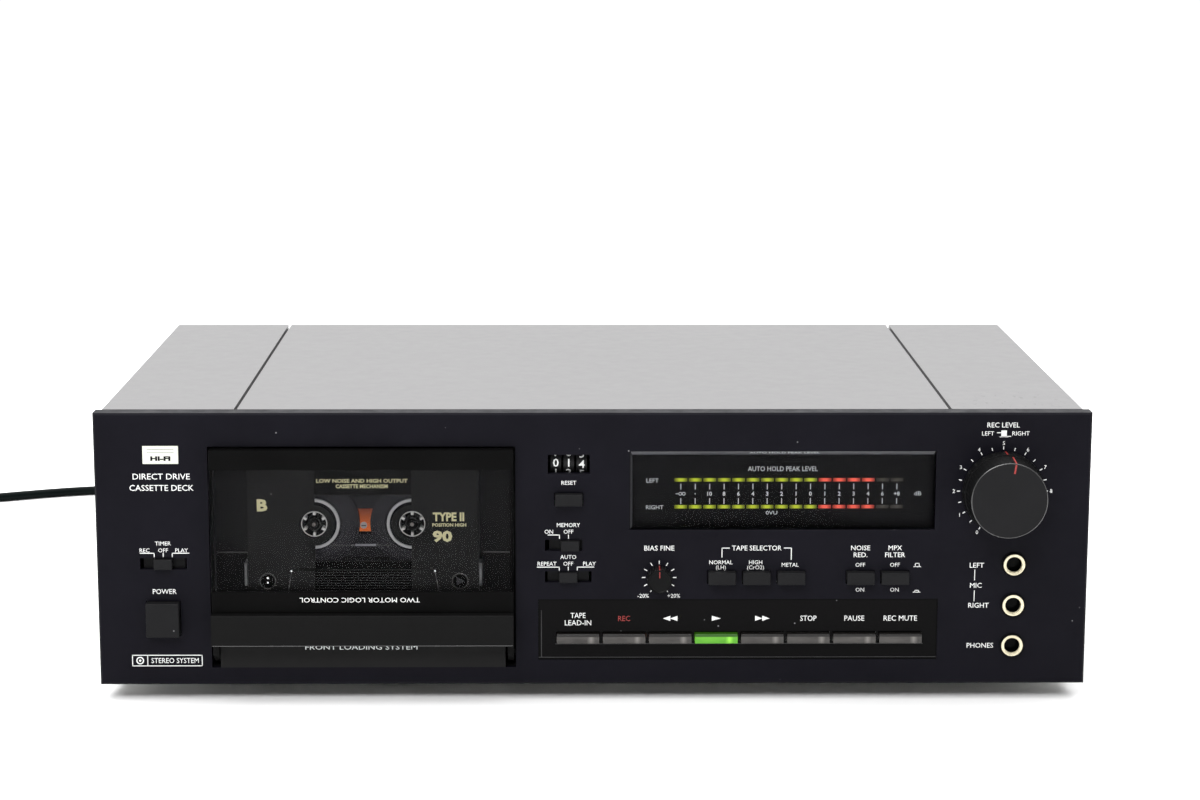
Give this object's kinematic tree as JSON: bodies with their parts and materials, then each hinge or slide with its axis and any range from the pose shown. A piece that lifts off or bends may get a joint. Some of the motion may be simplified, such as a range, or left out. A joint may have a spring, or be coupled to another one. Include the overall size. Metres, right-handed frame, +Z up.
{
  "type": "cassette deck",
  "caption": "Full-width front-loading cassette deck with a hinged dust cover over the cassette, level meter, transport keys, tape counter and concentric level knob.",
  "frame": {"origin": "middle of the footprint on the surface it stands on, without the mains cord", "axes": "+X to the right seen from the front, front panel faces -Y, +Z up"},
  "size_m": [0.6393, 0.4422, 0.1276],
  "materials": {
    "panel_black": "satin black anodised",
    "cover_grey": "fine satin metallic grey paint",
    "plated_steel": "zinc plated",
    "foot_rubber": "matt black",
    "screw_black": "black oxide",
    "bay_black": "fine matt black",
    "door_black": "satin black",
    "smoked_clear": "clear with a slight smoke tint",
    "cassette_black": "fine-grained black",
    "reel_white": "white",
    "spindle_black": "black with steel tip",
    "machined_steel": "turned",
    "roller_rubber": "dark rubber",
    "flywheel_brass": "turned",
    "counter_black": "black with white figures",
    "control_black": "satin black",
    "key_smoke": "translucent smoke grey",
    "key_green": "translucent, lit green",
    "lens_smoke": "smoked glossy",
    "board_green": "varnished circuit board",
    "gloss_black": "glossy black",
    "jack_black": "black nut with a brass-coloured inner ring",
    "transformer_iron": "varnished laminations",
    "rca_tin": "nickel plated",
    "cord_black": "satin black"
  },
  "bodies": {
    "deck": {"front_panel": "panel_black", "chassis_pan": "plated_steel", "rear_panel": "screw_black", "top_cover": "cover_grey", "side_cover_left": "cover_grey", "side_cover_right": "cover_grey", "feet": "foot_rubber", "case_screws": "screw_black", "main_board": "board_green", "power_transformer": "transformer_iron", "rca_jacks": "rca_tin", "jack_sockets": "jack_black", "meter_lens": "lens_smoke", "meter_board": "board_green", "key_panel": "gloss_black", "cassette_bay": "bay_black", "cassette_shell": "cassette_black", "mechanism_plate": "plated_steel", "capstan_stator": "board_green", "reel_motor": "plated_steel", "counter_frame": "counter_black", "cord_grommet": "cord_black", "mains_cord": "cord_black", "cord_coil": "cord_black", "mains_plug": "cord_black"},
    "door": {"door_frame": "door_black", "door_window": "smoked_clear"},
    "supply": {"supply_spindle": "spindle_black", "supply_reel": "reel_white"},
    "takeup": {"takeup_spindle": "spindle_black", "takeup_reel": "reel_white"},
    "capstan": {"capstan_flywheel": "flywheel_brass"},
    "bridge": {"head_bridge": "machined_steel"},
    "pinch": {"pinch_arm": "machined_steel"},
    "roller": {"pinch_roller": "roller_rubber"},
    "counter_hundreds": {"counter_wheel_hundreds": "counter_black"},
    "counter_tens": {"counter_wheel_tens": "counter_black"},
    "counter_units": {"counter_wheel_units": "counter_black"},
    "reset_button_body": {"reset_button": "control_black"},
    "power_button_body": {"power_button": "control_black"},
    "normal_button_body": {"normal_button": "control_black"},
    "high_button_body": {"high_button": "control_black"},
    "metal_button_body": {"metal_button": "control_black"},
    "nr_button_body": {"nr_button": "control_black"},
    "filter_button_body": {"filter_button": "control_black"},
    "lead_in_key_body": {"lead_in_key": "key_smoke"},
    "record_key_body": {"record_key": "key_smoke"},
    "rewind_key_body": {"rewind_key": "key_smoke"},
    "play_key_body": {"play_key": "key_green"},
    "forward_key_body": {"forward_key": "key_smoke"},
    "stop_key_body": {"stop_key": "key_smoke"},
    "pause_key_body": {"pause_key": "key_smoke"},
    "mute_key_body": {"mute_key": "key_smoke"},
    "timer_knob_body": {"timer_knob": "control_black"},
    "memory_knob_body": {"memory_knob": "control_black"},
    "auto_knob_body": {"auto_knob": "control_black"},
    "bias_knob_body": {"bias_knob": "control_black"},
    "level_knob_body": {"level_knob": "control_black"},
    "level_ring_body": {"level_ring": "control_black"}
  },
  "joints": [
    {"name": "door_hinge", "type": "hinge", "parent": "deck", "child": "door", "pos_m": [-0.09995, -0.1131, 0.0205], "axis": [1, 0, 0], "range_deg": [0, 45]},
    {"name": "power_push", "type": "slide", "parent": "deck", "child": "power_button_body", "axis": [0, 1, 0], "range_m": [0, 0.003]},
    {"name": "reset_push", "type": "slide", "parent": "deck", "child": "reset_button_body", "axis": [0, 1, 0], "range_m": [0, 0.002], "stiffness_N_per_m": 400},
    {"name": "normal_push", "type": "slide", "parent": "deck", "child": "normal_button_body", "axis": [0, 1, 0], "range_m": [0, 0.0025]},
    {"name": "high_push", "type": "slide", "parent": "deck", "child": "high_button_body", "axis": [0, 1, 0], "range_m": [0, 0.0025]},
    {"name": "metal_push", "type": "slide", "parent": "deck", "child": "metal_button_body", "axis": [0, 1, 0], "range_m": [0, 0.0025]},
    {"name": "nr_push", "type": "slide", "parent": "deck", "child": "nr_button_body", "axis": [0, 1, 0], "range_m": [0, 0.0025]},
    {"name": "filter_push", "type": "slide", "parent": "deck", "child": "filter_button_body", "axis": [0, 1, 0], "range_m": [0, 0.0025]},
    {"name": "lead_in_press", "type": "slide", "parent": "deck", "child": "lead_in_key_body", "axis": [0, 1, 0], "range_m": [0, 0.0008], "stiffness_N_per_m": 600},
    {"name": "record_press", "type": "slide", "parent": "deck", "child": "record_key_body", "axis": [0, 1, 0], "range_m": [0, 0.0008], "stiffness_N_per_m": 600},
    {"name": "rewind_press", "type": "slide", "parent": "deck", "child": "rewind_key_body", "axis": [0, 1, 0], "range_m": [0, 0.0008], "stiffness_N_per_m": 600},
    {"name": "play_press", "type": "slide", "parent": "deck", "child": "play_key_body", "axis": [0, 1, 0], "range_m": [0, 0.0008], "stiffness_N_per_m": 600},
    {"name": "forward_press", "type": "slide", "parent": "deck", "child": "forward_key_body", "axis": [0, 1, 0], "range_m": [0, 0.0008], "stiffness_N_per_m": 600},
    {"name": "stop_press", "type": "slide", "parent": "deck", "child": "stop_key_body", "axis": [0, 1, 0], "range_m": [0, 0.0008], "stiffness_N_per_m": 600},
    {"name": "pause_press", "type": "slide", "parent": "deck", "child": "pause_key_body", "axis": [0, 1, 0], "range_m": [0, 0.0008], "stiffness_N_per_m": 600},
    {"name": "mute_press", "type": "slide", "parent": "deck", "child": "mute_key_body", "axis": [0, 1, 0], "range_m": [0, 0.0008], "stiffness_N_per_m": 600},
    {"name": "timer_slide", "type": "slide", "parent": "deck", "child": "timer_knob_body", "axis": [1, 0, 0], "range_m": [-0.0055, 0.0055]},
    {"name": "memory_slide", "type": "slide", "parent": "deck", "child": "memory_knob_body", "axis": [1, 0, 0], "range_m": [-0.0055, 0]},
    {"name": "auto_slide", "type": "slide", "parent": "deck", "child": "auto_knob_body", "axis": [1, 0, 0], "range_m": [-0.0055, 0.0055]},
    {"name": "bias_turn", "type": "hinge", "parent": "deck", "child": "bias_knob_body", "pos_m": [0.0286, -0.122, 0.0549], "axis": [0, 1, 0], "range_deg": [-150, 150]},
    {"name": "level_left_turn", "type": "hinge", "parent": "deck", "child": "level_knob_body", "pos_m": [0.1769, -0.132, 0.0932], "axis": [0, 1, 0], "range_deg": [-158.7, 141.3]},
    {"name": "level_right_turn", "type": "hinge", "parent": "deck", "child": "level_ring_body", "pos_m": [0.1769, -0.122, 0.0932], "axis": [0, 1, 0], "range_deg": [-145, 155]},
    {"name": "takeup_spin", "type": "hinge", "parent": "deck", "child": "takeup", "pos_m": [-0.07865, -0.11, 0.0777], "axis": [0, 1, 0], "continuous": true},
    {"name": "supply_spin", "type": "hinge", "parent": "deck", "child": "supply", "pos_m": [-0.12115, -0.11, 0.0777], "axis": [0, 1, 0], "continuous": true},
    {"name": "counter_hundreds_turn", "type": "hinge", "parent": "deck", "child": "counter_hundreds", "pos_m": [-0.01625, -0.1074, 0.10515], "axis": [1, 0, 0], "continuous": true},
    {"name": "counter_tens_turn", "type": "hinge", "parent": "deck", "child": "counter_tens", "pos_m": [-0.01065, -0.1074, 0.10515], "axis": [1, 0, 0], "continuous": true},
    {"name": "counter_units_turn", "type": "hinge", "parent": "deck", "child": "counter_units", "pos_m": [-0.00505, -0.1074, 0.10515], "axis": [1, 0, 0], "continuous": true},
    {"name": "capstan_spin", "type": "hinge", "parent": "deck", "child": "capstan", "pos_m": [-0.0754, -0.08, 0.0508], "axis": [0, 1, 0], "continuous": true},
    {"name": "head_lift", "type": "slide", "parent": "deck", "child": "bridge", "axis": [0, 0, 1], "range_m": [0, 0.006]},
    {"name": "pinch_swing", "type": "hinge", "parent": "deck", "child": "pinch", "pos_m": [-0.0525, -0.101, 0.034], "axis": [0, 1, 0], "range_deg": [0, 18]},
    {"name": "roller_spin", "type": "hinge", "parent": "pinch", "child": "roller", "pos_m": [-0.07733, -0.11, 0.0364], "axis": [0, 1, 0], "continuous": true}
  ],
  "couplings": [
    {"joint": "supply_spin", "follows": "takeup_spin", "ratio": 0.91753},
    {"joint": "counter_units_turn", "follows": "takeup_spin", "ratio": 0.05},
    {"joint": "counter_tens_turn", "follows": "takeup_spin", "ratio": 0.005},
    {"joint": "counter_hundreds_turn", "follows": "takeup_spin", "ratio": 0.0005},
    {"joint": "pinch_swing", "follows": "head_lift", "rad_per_m": 52}
  ]
}
